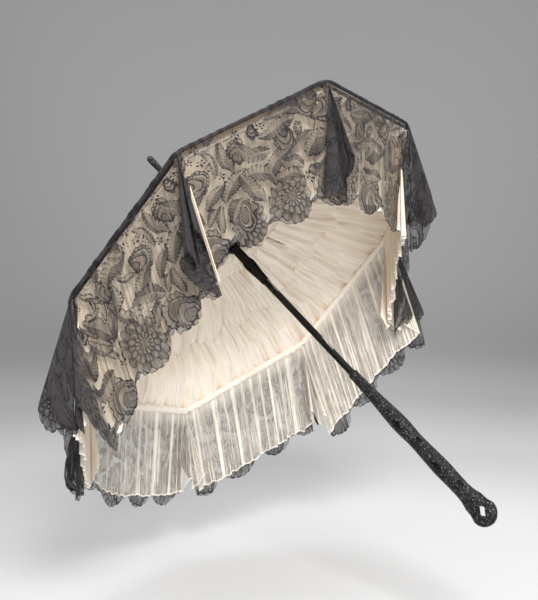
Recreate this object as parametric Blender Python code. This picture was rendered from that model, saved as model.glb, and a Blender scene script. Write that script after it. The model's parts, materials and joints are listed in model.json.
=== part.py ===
"""A lace carriage parasol, standing open and held by its handle, in metres with +Z up.

The shaft runs down and forward (+X) to the handle. The origin is the middle of the grip on the
shaft's axis. Everything is modelled about the shaft, with its own +Z towards the ferrule and its
zero at the centre of the rim, and an empty tilts the whole parasol. The ferrule, shaft and handle
are the fixed part. The runner slides on the shaft and folds eight curved ribs through eight
stretchers. The cover, the linings and the hanging flounces ride on the ribs and stretchers.
"""

import math

import bmesh
import bpy
from mathutils import Euler, Matrix, Vector

# Driving dimensions
RIBS = 8
RIM_R = 0.270  # rib tips from the shaft's axis
CROWN_Z = 0.127  # rib hinges above the plane of the rim
FERRULE_END = 0.230
HANDLE_TOP = -0.2175
HANDLE_LENGTH = 0.242
GRIP_Z = -0.330  # where the hand closes round the handle
SHAFT_DROP = math.radians(36)  # how far the handle end points below level
FIRST_RIB = math.radians(-7.5)  # azimuth of rib 1, from straight up
GAP = 0.0003
RING_PHASE = 0.37  # turns every round outline off the corners of the cuts
SMOOTH_UNDER = math.radians(35)

# Frame
ROD_R = 0.0043
ROD_TOP = CROWN_Z + 0.010
STOP_PIN_R = 0.0008
STOP_PIN_HALF = 0.0062
HINGE_R = 0.0062  # rib and stretcher pivots from the axis
RIB_R = 0.0012
RIB_BOW = math.radians(11)  # half the turn of a rib's curve
RIB_STEPS = 12
STRETCHER_R = 0.0009
STRETCHER_SHARE = 0.445  # place of the stretcher's pivot along the rib
LUG = 0.0032  # how far the pivot's lug stands in from the rib

# Hubs
BORE_R = ROD_R + GAP
BARREL_R = 0.0053
SLOT_HALF = 0.0013
RUNNER_TOP = 0.0060  # above the stretcher pivots
RUNNER_LENGTH = 0.077
RUNNER_SLIT = 0.0016  # half the width of the slit that lets the springs through

# Springs in the shaft: a leaf with a wedge-shaped catch
SPRING_WIDTH = 0.0018
SPRING_LENGTH = 0.022
SPRING_FOOT = 0.0029  # radius that the leaf stands on
POCKET_FLOOR = 0.0011
POCKET_ROOM = 0.0004
SPRING_TOPS = {"top_spring": -0.0390, "hand_spring": -0.1500}

# Fabric
SHEET = 0.0010
COVER_OFFSET = 0.0027
LINING_OFFSET = -0.0028
FLOUNCE_THICK = 0.0030
FLOUNCE_RIM = 0.2745
FLOUNCE_START = 0.003
FLOUNCE_WIDTH = 0.130  # square to the rim, so that it drops further where the rim is steep
FLOUNCE_POINT = 0.012  # extra drop at the ribs, where the cloth falls in points
POINT_SPREAD = 0.62  # share of the half gore that a point takes
POINT_FLARE = 0.24  # how far a point stands out for each metre that it falls

# Handle outline: distance from its top, half width
HANDLE_OUTLINE = (
    (0.0, 0.0062),
    (0.020, 0.0069),
    (0.045, 0.0080),
    (0.070, 0.0098),
    (0.088, 0.0102),
    (0.108, 0.0090),
    (0.132, 0.0097),
    (0.155, 0.0106),
    (0.180, 0.0098),
    (0.198, 0.0104),
    (0.2130, 0.0148),
)
BULB_R = 0.0163
BULB_THICK = 0.0068  # half the thickness where the loop hole is
HANDLE_TWIST = math.radians(-78)  # direction that the big holes run in
FLAT_FROM = 0.190  # the round handle flattens into the loop from here
FLAT_BY = 0.212
# Diamond holes: distance from the handle's top, width, length, turn from the big holes
HANDLE_HOLES = (
    (0.084, 0.0080, 0.016, 0),
    (0.115, 0.0060, 0.011, 40),
    (0.154, 0.0085, 0.019, 0),
    (0.186, 0.0066, 0.012, 40),
    (0.2235, 0.0140, 0.0190, 0),
)

BLACK_LACQUER = ((0.012, 0.010, 0.009), 0.25, 0.0)
EBONISED = ((0.018, 0.016, 0.015), 0.5, 0.0)
DARK_STEEL = ((0.10, 0.095, 0.09), 0.4, 1.0)
BRIGHT_STEEL = ((0.55, 0.54, 0.52), 0.3, 1.0)
CANE = ((0.36, 0.20, 0.09), 0.5, 0.0)
LACE = ((0.13, 0.11, 0.10), 0.8, 0.0)
CHIFFON = ((0.80, 0.72, 0.58), 0.7, 0.0)
LACE_OVER_CREAM = ((0.42, 0.36, 0.30), 0.8, 0.0)


def material(name, finish):
    colour, roughness, metallic = finish
    found = bpy.data.materials.get(name)
    if found:
        return found
    made = bpy.data.materials.new(name)
    made.use_nodes = True
    shader = made.node_tree.nodes["Principled BSDF"]
    shader.inputs["Base Color"].default_value = (*colour, 1)
    shader.inputs["Roughness"].default_value = roughness
    shader.inputs["Metallic"].default_value = metallic
    return made


def place(mesh_or_bm, name, finish, parent=None, at=(0, 0, 0), turn=0.0):
    """One object from a mesh, about its own origin, shaded smooth but for its edges."""
    if isinstance(mesh_or_bm, bmesh.types.BMesh):
        bmesh.ops.recalc_face_normals(mesh_or_bm, faces=mesh_or_bm.faces)
        mesh = bpy.data.meshes.new(name)
        mesh_or_bm.to_mesh(mesh)
        mesh_or_bm.free()
        mesh.materials.append(material(name.rstrip("_0123456789"), finish))
        mesh.shade_smooth()
        mesh.set_sharp_from_angle(angle=SMOOTH_UNDER)
    else:
        mesh = mesh_or_bm
    made = bpy.data.objects.new(name, mesh)
    bpy.context.collection.objects.link(made)
    made.parent = parent
    made.location = at
    made.rotation_euler = (0, 0, turn)
    return made


def loft(rings, closed=False):
    """A solid through rings of points: ended by flat caps, or joined end to start."""
    bm = bmesh.new()
    made = [[bm.verts.new(p) for p in ring] for ring in rings]
    count = len(made[0])
    pairs = list(zip(made, made[1:]))
    if closed:
        pairs.append((made[-1], made[0]))
    for low, high in pairs:
        for i in range(count):
            j = (i + 1) % count
            bm.faces.new((low[i], low[j], high[j], high[i]))
    if not closed:
        bm.faces.new(made[0])
        bm.faces.new(made[-1])
    return bm


def circle(radius, z, segments=16, wide=1.0, turn=0.0):
    """Points of a flat ring round Z, stretched by wide across the direction of turn."""
    points = []
    for i in range(segments):
        a = 2 * math.pi * (i + RING_PHASE) / segments
        x, y = radius * math.cos(a), radius * wide * math.sin(a)
        points.append(
            (
                x * math.cos(turn) - y * math.sin(turn),
                x * math.sin(turn) + y * math.cos(turn),
                z,
            )
        )
    return points


def turned(profile, segments=20):
    """A solid of revolution about Z through (radius, z) points, with flat ends."""
    return loft([circle(r, z, segments) for r, z in profile])


def cut(target, cutter):
    cutter.hide_render = True
    cutter.display_type = "WIRE"
    modifier = target.modifiers.new("cut_" + cutter.name, "BOOLEAN")
    modifier.operation = "DIFFERENCE"
    modifier.object = cutter


def block(low, high):
    (x0, y0, z0), (x1, y1, z1) = low, high
    corners = ((x0, y0), (x1, y0), (x1, y1), (x0, y1))
    return loft([[(x, y, z) for x, y in corners] for z in (z0, z1)])


# Geometry of the open canopy, in the plane of a rib: x out from the axis, z along it


def rib_line(share):
    """(x, z, slope) at a share of the rib's length: an arc from its hinge to its tip."""
    dx, dz = RIM_R - HINGE_R, CROWN_Z
    middle = math.atan2(dz, dx)
    bend_r = math.hypot(dx, dz) / (2 * math.sin(RIB_BOW))
    start = middle - RIB_BOW
    slope = start + 2 * RIB_BOW * share
    x = HINGE_R + bend_r * (math.sin(slope) - math.sin(start))
    z = CROWN_Z + bend_r * (math.cos(slope) - math.cos(start))
    return x, z, slope


def rib_offset(share, offset):
    """A point beside the rib, with offset measured outwards from the canopy."""
    x, z, slope = rib_line(share)
    return x + offset * math.sin(slope), z + offset * math.cos(slope)


def stretcher_pivot():
    return rib_offset(STRETCHER_SHARE, -LUG)


def runner_pivot_z():
    """Stretchers are as long as their pivots are from the crown, so both hinges mirror."""
    return CROWN_Z - 2 * (CROWN_Z - stretcher_pivot()[1])


def azimuth(number):
    return FIRST_RIB + 2 * math.pi * (number - 1) / RIBS


# Fixed pieces


def make_shaft(parasol):
    rod = turned([(ROD_R, HANDLE_TOP + GAP), (ROD_R, ROD_TOP)], 24)
    shaft = place(rod, "shaft", BLACK_LACQUER, parasol)
    half = SPRING_WIDTH / 2 + POCKET_ROOM
    for name, top in SPRING_TOPS.items():
        low = (POCKET_FLOOR, -half, top - SPRING_LENGTH - POCKET_ROOM)
        high = (2 * ROD_R, half, top + POCKET_ROOM)
        pocket = block(low, high)
        at = (0, 0, 0)
        cut(shaft, place(pocket, name + "_pocket", DARK_STEEL, parasol, at, FIRST_RIB))
    reach = 2 * ROD_R
    bore = turned([(STOP_PIN_R + GAP, -reach), (STOP_PIN_R + GAP, reach)], 12)
    hole = place(bore, "stop_pin_hole", DARK_STEEL, parasol, (0, 0, stop_pin_z()))
    hole.rotation_euler = (math.pi / 2, 0, 0)
    cut(shaft, hole)
    return shaft


def stop_pin_z():
    return runner_pivot_z() + RUNNER_TOP + 0.0030


def make_stop_pin(parasol):
    pin = turned([(STOP_PIN_R, -STOP_PIN_HALF), (STOP_PIN_R, STOP_PIN_HALF)], 10)
    made = place(pin, "stop_pin", DARK_STEEL, parasol, (0, 0, stop_pin_z()))
    made.rotation_euler = (math.pi / 2, 0, 0)


def make_ferrule(parasol):
    foot = ROD_TOP + GAP
    profile = [
        (0.0046, foot),
        (0.0046, foot + 0.030),
        (0.0043, FERRULE_END - 0.020),
        (0.0047, FERRULE_END - 0.012),
        (0.0046, FERRULE_END - 0.002),
        (0.0034, FERRULE_END),
    ]
    place(turned(profile, 20), "ferrule", EBONISED, parasol)


def toothed(levels, root_r):
    """A ring round the shaft with a slot for each rib: levels are (outer radius, z).

    Round each slot the outline steps in along the slot's wall to its floor, across, and out.
    """
    half_step = math.pi / RIBS
    floor_turn = math.asin(SLOT_HALF / root_r)
    shoulder_turn = (floor_turn + half_step) / 2
    outer, inner = [], []
    for outer_r, z in levels:
        ring_out, ring_in = [], []
        for number in range(1, RIBS + 1):
            wall_turn = math.asin(SLOT_HALF / outer_r)
            corners = (
                (-wall_turn, outer_r, -shoulder_turn),
                (-floor_turn, root_r, -floor_turn),
                (floor_turn, root_r, floor_turn),
                (wall_turn, outer_r, shoulder_turn),
                (half_step, outer_r, half_step),
            )
            for turn, radius, bore_turn in corners:
                a, b = azimuth(number) + turn, azimuth(number) + bore_turn
                ring_out.append((radius * math.cos(a), radius * math.sin(a), z))
                ring_in.append((BORE_R * math.cos(b), BORE_R * math.sin(b), z))
        outer.append(ring_out)
        inner.append(ring_in)
    return loft(outer + inner[::-1], closed=True)


def make_crown_notch(parasol):
    levels = [(0.0086, CROWN_Z - 0.0045), (0.0086, CROWN_Z + 0.0040)]
    place(toothed(levels, 0.0050), "crown_notch", DARK_STEEL, parasol)


def make_crown_cap(parasol):
    foot = CROWN_Z + 0.0044
    outer = [(0.0100, foot), (0.0125, foot + 0.0012), (0.0110, foot + 0.0040)]
    outer += [(0.0075, foot + 0.0068), (0.0052, foot + 0.0082)]
    inner_r = 0.0050
    rings = [circle(r, z, 24) for r, z in outer]
    rings += [circle(inner_r, outer[-1][1], 24), circle(inner_r, foot, 24)]
    place(loft(rings, closed=True), "crown_cap", EBONISED, parasol)


def smooth_between(points, at):
    """A smooth curve through (position, value) points."""
    for i in range(len(points) - 1):
        (x0, y0), (x1, y1) = points[i], points[i + 1]
        if at <= x1 or i == len(points) - 2:
            before = points[max(i - 1, 0)]
            after = points[min(i + 2, len(points) - 1)]
            m0 = (y1 - before[1]) / (x1 - before[0])
            m1 = (after[1] - y0) / (after[0] - x0)
            h = x1 - x0
            t = (at - x0) / h
            return (
                (2 * t**3 - 3 * t**2 + 1) * y0
                + (t**3 - 2 * t**2 + t) * h * m0
                + (3 * t**2 - 2 * t**3) * y1
                + (t**3 - t**2) * h * m1
            )


def handle_half_width(down):
    centre = HANDLE_LENGTH - BULB_R
    if down >= HANDLE_OUTLINE[-1][0]:
        return math.sqrt(max(BULB_R**2 - (down - centre) ** 2, 0.0))
    return smooth_between(HANDLE_OUTLINE, down)


def handle_half_depth(down):
    """The handle is round down to the last hole, where it flattens into the loop."""
    centre = HANDLE_LENGTH - BULB_R
    width = handle_half_width(down)
    if down <= FLAT_FROM:
        return width
    share = min((down - FLAT_FROM) / (FLAT_BY - FLAT_FROM), 1.0)
    flat = BULB_THICK
    if down > centre:
        flat = BULB_THICK * math.sqrt(max(1 - ((down - centre) / BULB_R) ** 2, 0.0)) ** 0.6
    return min(width, handle_half_width(FLAT_FROM) * (1 - share) + flat * share)


def make_handle(parasol):
    body_steps, end_steps = 26, 6
    centre = HANDLE_LENGTH - BULB_R
    downs = [centre * i / body_steps for i in range(body_steps + 1)]
    for i in range(1, end_steps + 1):
        downs.append(centre + BULB_R * math.sin(math.radians(84) * i / end_steps))
    rings = []
    for down in downs:
        width, depth = handle_half_width(down), handle_half_depth(down)
        rings.append(circle(depth, HANDLE_TOP - down, 16, width / depth, HANDLE_TWIST))
    handle = place(loft(rings), "handle", EBONISED, parasol)
    for number, (down, wide, long, turn) in enumerate(HANDLE_HOLES, 1):
        outline = ((0, long / 2), (wide / 2, 0), (0, -long / 2), (-wide / 2, 0))
        diamond = loft([[(x, y, z) for x, y in outline] for z in (-0.03, 0.03)])
        hole = place(diamond, f"handle_hole_{number}", EBONISED, parasol)
        hole.location = (0, 0, HANDLE_TOP - down)
        lay_down = Euler((math.pi / 2, 0, 0)).to_matrix()
        face = Matrix.Rotation(HANDLE_TWIST + math.radians(90 + turn), 3, "Z")
        hole.rotation_euler = (face @ lay_down).to_euler()
        cut(handle, hole)


def make_handle_collar(parasol):
    low, high = HANDLE_TOP + GAP, HANDLE_TOP + 0.0055
    outer = [(0.0061, low), (0.0065, low + 0.0020), (0.0058, high)]
    rings = [circle(r, z, 20) for r, z in outer]
    rings += [circle(BORE_R, high, 20), circle(BORE_R, low, 20)]
    place(loft(rings, closed=True), "handle_collar", DARK_STEEL, parasol)


# Moving pieces


def make_runner(parasol):
    """Its origin is on the axis at the stretcher pivots. The slit runs from end to end."""
    low = RUNNER_TOP - RUNNER_LENGTH
    levels = [
        (0.0072, RUNNER_TOP),
        (0.0070, -0.0060),
        (0.0060, -0.0090),
        (0.0060, -0.0280),
        (0.0078, -0.0340),
        (0.0078, -0.0390),
        (0.0068, -0.0480),
        (0.0057, -0.0620),
        (0.0055, low),
    ]
    at = (0, 0, runner_pivot_z())
    runner = place(toothed(levels, BARREL_R), "runner", DARK_STEEL, parasol, at)
    slit_low = (0, -RUNNER_SLIT, low - RUNNER_TOP)
    slit_high = (0.02, RUNNER_SLIT, 2 * RUNNER_TOP)
    at = (0, 0, 0)
    slit = place(block(slit_low, slit_high), "runner_slit", DARK_STEEL, runner, at, FIRST_RIB)
    cut(runner, slit)


def make_spring(name, top, parasol):
    """A leaf along the shaft whose catch rises out of its pocket towards the ferrule."""
    outline = (
        (SPRING_FOOT, top - SPRING_LENGTH),
        (0.0041, top - SPRING_LENGTH),
        (0.0041, top - 0.0120),
        (0.0064, top - 0.0015),
        (0.0064, top),
        (SPRING_FOOT, top),
    )
    half = SPRING_WIDTH / 2
    sides = [[(x, y, z - top) for x, z in outline] for y in (-half, half)]
    place(loft(sides), name, BRIGHT_STEEL, parasol, (0, 0, top), FIRST_RIB)


def tube_along(points, radii, segments=6):
    """A round rod through points in the XZ plane."""
    rings = []
    for i, (x, z) in enumerate(points):
        before, after = points[max(i - 1, 0)], points[min(i + 1, len(points) - 1)]
        along = Vector((after[0] - before[0], 0, after[1] - before[1])).normalized()
        side = Vector((0, 1, 0))
        up = along.cross(side)
        ring = []
        for k in range(segments):
            a = 2 * math.pi * (k + 0.5) / segments
            ring.append(
                Vector((x, 0, z)) + radii[i] * (math.cos(a) * side + math.sin(a) * up)
            )
        rings.append(ring)
    return loft(rings)


def rib_mesh():
    """A curved rib about its hinge, thickened to a tip that holds the cover's corner."""
    points, radii = [], []
    for i in range(RIB_STEPS + 1):
        x, z, _ = rib_line(i / RIB_STEPS * 0.955)
        points.append((x - HINGE_R, z - CROWN_Z))
        radii.append(RIB_R)
    radii[0] = 0.0008
    for share, r in ((0.958, 0.0015), (0.985, 0.0015), (0.992, 0.0010)):
        x, z, _ = rib_line(share)
        points.append((x - HINGE_R, z - CROWN_Z))
        radii.append(r)
    return tube_along(points, radii)


def stretcher_mesh():
    """A straight stretcher about its rib pivot, running in to the runner."""
    x, z = stretcher_pivot()
    end_x, end_z = HINGE_R - x, runner_pivot_z() - z
    points = [(end_x * share, end_z * share) for share in (0.0, 0.05, 0.5, 0.95, 1.0)]
    radii = [0.0011, STRETCHER_R, STRETCHER_R, STRETCHER_R, 0.0007]
    return tube_along(points, radii)


def sheet(middle, thick):
    """A closed sheet of even thickness over a grid of points, rows by columns."""
    rows, columns = len(middle), len(middle[0])
    normals = []
    for r in range(rows):
        line = []
        for c in range(columns):
            down = middle[min(r + 1, rows - 1)][c] - middle[max(r - 1, 0)][c]
            across = middle[r][min(c + 1, columns - 1)] - middle[r][max(c - 1, 0)]
            line.append(down.cross(across).normalized())
        normals.append(line)
    bm = bmesh.new()
    sides = []
    for sign in (-1, 1):
        sides.append(
            [
                [
                    bm.verts.new(middle[r][c] + sign * thick / 2 * normals[r][c])
                    for c in range(columns)
                ]
                for r in range(rows)
            ]
        )
    for side in sides:
        for r in range(rows - 1):
            for c in range(columns - 1):
                bm.faces.new(
                    (side[r][c], side[r][c + 1], side[r + 1][c + 1], side[r + 1][c])
                )
    border = [(0, c) for c in range(columns)] + [(r, columns - 1) for r in range(1, rows)]
    border += [(rows - 1, c) for c in range(columns - 2, -1, -1)]
    border += [(r, 0) for r in range(rows - 2, 0, -1)]
    for (r0, c0), (r1, c1) in zip(border, border[1:] + border[:1]):
        bm.faces.new((sides[0][r0][c0], sides[0][r1][c1], sides[1][r1][c1], sides[1][r0][c0]))
    return bm


def gore_row(x, z, ends=(-1.0, 0.0, 1.0)):
    """A row of points over one rib, from mid-gore to mid-gore, straight between the ribs."""
    half = math.pi / RIBS
    edge_x, edge_y = x * math.cos(half) ** 2, x * math.cos(half) * math.sin(half)
    row = []
    for end in ends:
        side = abs(end) * (1 - GAP / edge_y)
        y = math.copysign(edge_y * side, end)
        row.append(Vector((x + (edge_x - x) * side, y, z)))
    return row


def shell_over_rib(start, stop, rows, offset):
    """Part of the canopy over one rib, about the rib's hinge."""
    middle = []
    for i in range(rows + 1):
        x, z = rib_offset(start + (stop - start) * i / rows, offset)
        middle.append(
            [p - Vector((HINGE_R, 0, CROWN_Z)) for p in gore_row(x, z)]
        )
    return sheet(middle, SHEET)


def inner_lining_mesh():
    """The lining under one stretcher, about the stretcher's rib pivot."""
    x, z = stretcher_pivot()
    run = Vector((x - HINGE_R, 0, z - runner_pivot_z()))
    middle = []
    for share in (0.10, 0.40, 0.70, 0.95):
        point = Vector((HINGE_R, 0, runner_pivot_z())) + run * share
        drop = Vector((run.z, 0, -run.x)).normalized() * 0.0020
        point += drop
        middle.append([p - Vector((x, 0, z)) for p in gore_row(point.x, point.z)])
    return sheet(middle, SHEET)


def flounce_mesh(number, down):
    """The flounce round one rib tip: it hangs straight down from the straight rim."""
    half = math.pi / RIBS
    fall = Matrix.Rotation(-azimuth(number), 3, "Z") @ down
    drops = {}
    for side in (-1, 1):
        rim = Vector((-math.sin(half), side * math.cos(half), 0))
        drops[side] = FLOUNCE_WIDTH / math.sqrt(1 - rim.dot(fall) ** 2)
    middle_drop = (drops[-1] + drops[1]) / 2
    outward = Vector((1, 0, 0))
    flare = POINT_FLARE * (outward - outward.dot(fall) * fall).normalized()
    tip_x, tip_z, _ = rib_line(1.0)
    columns = (-1.0, -POINT_SPREAD, -0.25, 0.0, 0.25, POINT_SPREAD, 1.0)
    middle = []
    for step in range(4):
        row = []
        for edge, point in zip(columns, gore_row(FLOUNCE_RIM, 0.0, columns)):
            corner = max(0.0, 1 - abs(edge) / POINT_SPREAD)
            side_drop = drops[1] if edge > 0 else drops[-1]
            depth = side_drop + (middle_drop + FLOUNCE_POINT - side_drop) * corner
            reach = FLOUNCE_START + (depth - FLOUNCE_START) * step / 3
            hang = (fall + flare * corner) * reach
            row.append(point + hang - Vector((tip_x, 0, tip_z)))
        middle.append(row)
    return sheet(middle, FLOUNCE_THICK)


def make_ribs(parasol, down):
    shared = {}
    tip_x, tip_z, _ = rib_line(1.0)
    pivot_x, pivot_z = stretcher_pivot()
    for number in range(1, RIBS + 1):
        beta = azimuth(number)
        at = (HINGE_R * math.cos(beta), HINGE_R * math.sin(beta), CROWN_Z)
        rib = place(shared.get("rib") or rib_mesh(), f"rib_{number}", CANE, parasol, at, beta)
        shared["rib"] = rib.data
        for name, args, finish in (
            ("cover_panel", (0.030, 0.985, 6, COVER_OFFSET), LACE_OVER_CREAM),
            ("outer_lining", (0.475, 0.985, 4, LINING_OFFSET), CHIFFON),
        ):
            source = shared.get(name) or shell_over_rib(*args)
            shared[name] = place(source, f"{name}_{number}", finish, rib).data
        at = (pivot_x - HINGE_R, 0, pivot_z - CROWN_Z)
        source = shared.get("stretcher") or stretcher_mesh()
        stretcher = place(source, f"stretcher_{number}", CANE, rib, at)
        shared["stretcher"] = stretcher.data
        source = shared.get("inner_lining") or inner_lining_mesh()
        shared["inner_lining"] = place(
            source, f"inner_lining_{number}", CHIFFON, stretcher
        ).data
        at = (tip_x - HINGE_R, 0, tip_z - CROWN_Z)
        place(flounce_mesh(number, down), f"flounce_{number}", LACE, rib, at)


def main():
    for old in list(bpy.data.objects):
        bpy.data.objects.remove(old, do_unlink=True)
    parasol = bpy.data.objects.new("parasol", None)
    bpy.context.collection.objects.link(parasol)
    tilt = Euler((0, -(math.pi / 2 - SHAFT_DROP), 0))
    parasol.rotation_euler = tilt
    parasol.location = tilt.to_matrix() @ Vector((0, 0, -GRIP_Z))
    down = tilt.to_matrix().transposed() @ Vector((0, 0, -1))
    make_shaft(parasol)
    make_stop_pin(parasol)
    make_ferrule(parasol)
    make_crown_notch(parasol)
    make_crown_cap(parasol)
    make_handle(parasol)
    make_handle_collar(parasol)
    make_runner(parasol)
    for name, top in SPRING_TOPS.items():
        make_spring(name, top, parasol)
    make_ribs(parasol, down)


main()
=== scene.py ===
"""Looks of the lace carriage parasol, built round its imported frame.

Each rib carries its own share of the cloth: the cover, two ruched linings, a rim band, and a flounce of
black lace over one of cream chiffon. Lengths are in metres, and lace patterns are drawn in millimetres.
"""

import json
import math

import bpy
import numpy as np
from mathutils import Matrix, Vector


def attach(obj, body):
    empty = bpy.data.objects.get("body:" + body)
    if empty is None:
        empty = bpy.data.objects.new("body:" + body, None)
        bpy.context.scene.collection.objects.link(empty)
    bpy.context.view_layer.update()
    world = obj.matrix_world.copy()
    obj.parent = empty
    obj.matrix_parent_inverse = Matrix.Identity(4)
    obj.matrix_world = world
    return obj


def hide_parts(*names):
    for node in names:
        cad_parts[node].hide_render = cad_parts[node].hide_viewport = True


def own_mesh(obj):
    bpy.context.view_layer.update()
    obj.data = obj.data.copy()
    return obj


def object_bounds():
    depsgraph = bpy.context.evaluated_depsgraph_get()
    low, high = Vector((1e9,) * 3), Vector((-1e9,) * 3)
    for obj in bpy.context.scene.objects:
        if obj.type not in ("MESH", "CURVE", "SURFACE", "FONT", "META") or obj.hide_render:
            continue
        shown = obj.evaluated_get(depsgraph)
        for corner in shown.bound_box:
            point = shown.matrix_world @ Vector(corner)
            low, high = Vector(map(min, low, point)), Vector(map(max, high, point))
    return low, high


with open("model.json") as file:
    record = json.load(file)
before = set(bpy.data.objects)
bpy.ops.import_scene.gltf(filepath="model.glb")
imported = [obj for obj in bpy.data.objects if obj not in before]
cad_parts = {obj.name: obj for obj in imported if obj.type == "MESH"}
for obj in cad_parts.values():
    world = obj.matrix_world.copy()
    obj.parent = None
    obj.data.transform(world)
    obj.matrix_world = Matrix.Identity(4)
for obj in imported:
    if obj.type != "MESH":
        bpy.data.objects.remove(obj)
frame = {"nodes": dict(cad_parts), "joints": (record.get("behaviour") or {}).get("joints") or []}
CAD_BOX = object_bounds()

# Driving values, as on the solids
RIBS = 8
RIB_BOW = math.radians(11)
STRETCHER_SHARE = 0.445
COVER_OFFSET = 0.0027
LINING_OFFSET = -0.0028
HALF_GORE = math.pi / RIBS

# Cloth
LACE_WIDTH = 0.130  # square to the rim
CHIFFON_WIDTH = 0.116
SWING = 0.43  # how much a panel leans towards its higher end
FLOUNCE_RIM = 0.2738
FOLD_SPREAD = 0.34  # how far a corner fold stands out for each metre that it has fallen
POINT_DROPS = (0.005, 0.015, 0.010, 0.0, -0.005, -0.026, 0.022, 0.006)  # extra fall at each rib
FOLD_SIDES = (1.3, 1.2, 1.0, 1.0, 1.0, 1.8, 1.0, -2.3)  # how wide each corner's fold lies, and to which side
COVER_FROM = 0.028  # share of the rib where the cover starts
LINING_TO = 0.997  # share of the rib where the lining ends
INNER_FROM = 0.03  # share of the stretcher where the inner lining starts
COVER_SAG = 0.006
COVER_LACE_MM = (210.0, 312.0)  # the drawn repeat round the cover, and its height
COVER_RUN_MM = 306.0  # how much of that height a whole rib takes up
GORE_SHIFT_MM = 37.0  # moves the same repeat along from gore to gore
OUTER_PUFF = 0.0090
INNER_PUFF = 0.0065
BANDS = 2  # ruched bands on each part of the lining
LACE_STEP = 0.0009
PATTERN_REPEAT = 0.29
THREAD = 0.62  # half the width of a drawn thread, in millimetres
OUTLINE = 0.75

JOINTS = {j["name"]: j for j in frame["joints"]}


def unit(v):
    v = np.asarray(v, float)
    return v / np.linalg.norm(v)


def joint_points(pattern):
    return np.array([JOINTS[pattern.format(n)]["pos_m"] for n in range(1, RIBS + 1)])


UP = -unit(JOINTS["runner_slide"]["axis"])
DOWN = np.array([0.0, 0.0, -1.0])
TIPS = joint_points("flounce_{}_hinge")
HINGES = joint_points("rib_{}_hinge")
PIVOTS = joint_points("stretcher_{}_hinge")
CENTRE = TIPS.mean(0)
CROWN = HINGES.mean(0)
OUT = np.array([unit(p - CENTRE) for p in TIPS])
TANGENT = np.array([unit(JOINTS[f"rib_{n}_hinge"]["axis"]) for n in range(1, RIBS + 1)])
RIM_R = np.linalg.norm(TIPS[0] - CENTRE)
HINGE_R = np.linalg.norm(HINGES[0] - CROWN)
CROWN_H = (CROWN - CENTRE) @ UP
RUNNER_Z = 2 * (PIVOTS.mean(0) - CENTRE) @ UP - CROWN_H


def seeded(*key):
    return np.random.default_rng([int(k) for k in key])


def smooth(x, low, high):
    t = np.clip((x - low) / (high - low), 0, 1)
    return t * t * (3 - 2 * t)


# Meshes


def grid_piece(name, points, attributes=(), material=None, flip=False):
    """A mesh over rows by columns of points, with float or vector attributes on the same grid."""
    rows, columns = points.shape[:2]
    mesh = bpy.data.meshes.new(name)
    index = np.arange(rows * columns).reshape(rows, columns)
    quads = np.stack([index[:-1, :-1], index[:-1, 1:], index[1:, 1:], index[1:, :-1]], -1)
    quads = quads.reshape(-1, 4)
    if flip:
        quads = quads[:, ::-1]
    mesh.vertices.add(rows * columns)
    mesh.vertices.foreach_set("co", points.reshape(-1).astype(np.float32))
    mesh.loops.add(len(quads) * 4)
    mesh.loops.foreach_set("vertex_index", quads.reshape(-1).astype(np.int32))
    mesh.polygons.add(len(quads))
    mesh.polygons.foreach_set("loop_start", np.arange(0, len(quads) * 4, 4, dtype=np.int32))
    mesh.update()
    mesh.validate()
    for key, values in dict(attributes).items():
        values = np.asarray(values, np.float32)
        if values.ndim == 3:
            made = mesh.attributes.new(key, "FLOAT_VECTOR", "POINT")
            made.data.foreach_set("vector", values.reshape(-1))
        else:
            made = mesh.attributes.new(key, "FLOAT", "POINT")
            made.data.foreach_set("value", values.reshape(-1))
    mesh.shade_smooth()
    piece = bpy.data.objects.new(name, mesh)
    bpy.context.collection.objects.link(piece)
    if material:
        mesh.materials.append(material)
    return piece


def in_rib(n, x, y, z):
    """World points from the frame of rib n (from 0): out from the axis, along its tangent, up the axis."""
    x, y, z = (np.asarray(v)[..., None] for v in (x, y, z))
    return CENTRE + x * OUT[n] + y * TANGENT[n] + z * UP


def rib_line(share):
    dx = RIM_R - HINGE_R
    middle = math.atan2(CROWN_H, dx)
    bend_r = math.hypot(dx, CROWN_H) / (2 * math.sin(RIB_BOW))
    start = middle - RIB_BOW
    slope = start + 2 * RIB_BOW * share
    x = HINGE_R + bend_r * (np.sin(slope) - math.sin(start))
    z = CROWN_H + bend_r * (np.cos(slope) - math.cos(start))
    return x, z, slope


# The lace: a repeat drawn in millimetres, as distances into its motifs and its outlines


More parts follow.
